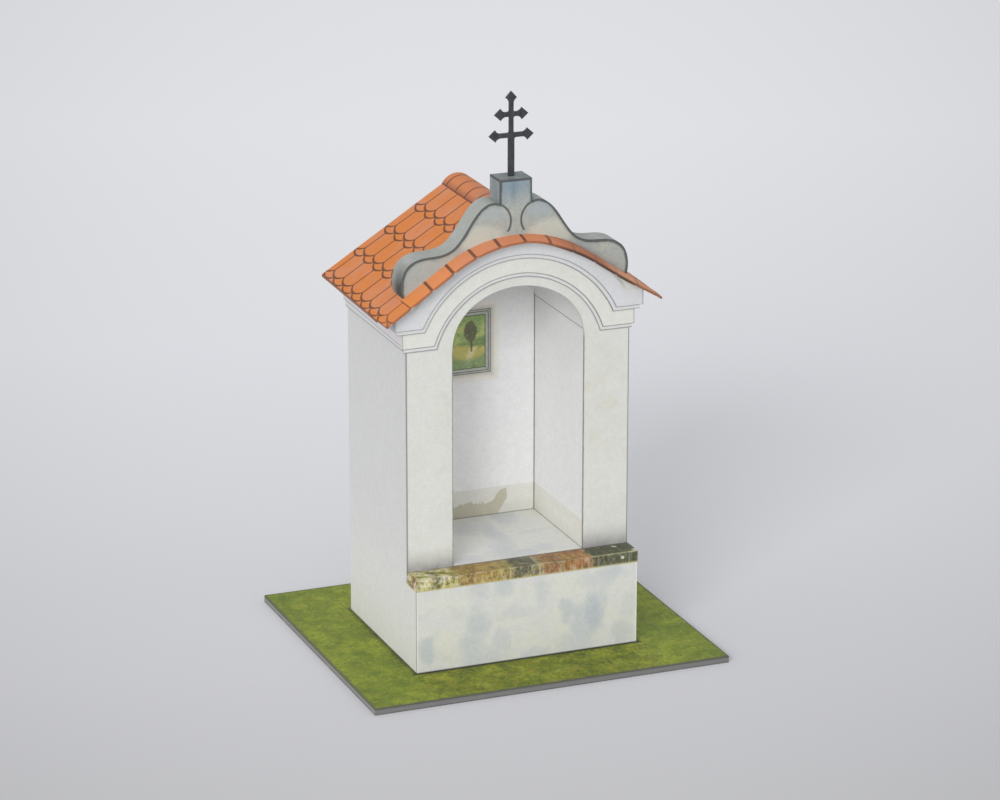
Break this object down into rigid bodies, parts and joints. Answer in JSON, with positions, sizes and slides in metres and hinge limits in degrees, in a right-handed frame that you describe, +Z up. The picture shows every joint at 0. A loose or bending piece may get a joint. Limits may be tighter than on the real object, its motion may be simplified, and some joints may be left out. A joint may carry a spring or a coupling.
{
  "type": "card model of a wayside shrine",
  "caption": "Folded card model of a roadside niche shrine on a base board, with a tiled saddle roof, an arched front cornice, a scroll gable and a double-barred cross.",
  "frame": {"origin": "middle of the base board's underside, on the surface it stands on", "axes": "+Z up, +Y from the open niche towards the back, +X to the right of someone facing the niche"},
  "size_m": [0.0542, 0.048, 0.083],
  "materials": {
    "board": "matt grey board, cut edges",
    "turf_print": "printed grass, matt",
    "plinth_print": "printed limewash with pale blue stains, matt",
    "stone_print": "printed mixed stone, matt",
    "wall_card": "plain off-white card, matt",
    "facade_print": "printed cream limewash with grey edge lines, matt",
    "niche_print": "printed limewash with grey edge lines, matt",
    "niche_back_print": "printed limewash with a dado, a stain and a framed picture, matt",
    "cornice_print": "printed limewash with grey edge lines, matt",
    "tile_print": "printed orange beaver-tail tiles, matt",
    "ridge_print": "printed ridge tiles, matt",
    "gable_print": "printed weathered grey stone with dark edges, matt",
    "cross_card": "dark grey card, matt"
  },
  "bodies": {
    "root": {"base_board": "board", "turf_sheet": "turf_print", "plinth_front": "plinth_print", "ledge": "stone_print", "wall_left": "wall_card", "wall_right": "wall_card", "wall_rear": "wall_card", "pier_left": "facade_print", "pier_right": "facade_print", "front_arch": "facade_print", "niche_floor": "niche_print", "niche_left": "niche_print", "niche_right": "niche_print", "niche_vault": "niche_print", "niche_back": "niche_back_print", "cornice_lower_fillet": "cornice_print", "cornice_frieze": "facade_print", "cornice_upper_fillet": "cornice_print", "cornice_corona": "cornice_print", "side_cornice_lower_left": "cornice_print", "side_cornice_lower_right": "cornice_print", "side_cornice_upper_left": "cornice_print", "side_cornice_upper_right": "cornice_print", "roof_left": "tile_print", "roof_right": "tile_print", "roof_verge": "tile_print", "ridge_strip": "ridge_print", "gable_front": "gable_print", "gable_back": "gable_print", "gable_edge_left": "gable_print", "gable_edge_right": "gable_print", "pedestal_cap": "gable_print", "cross": "cross_card"}
  },
  "joints": []
}
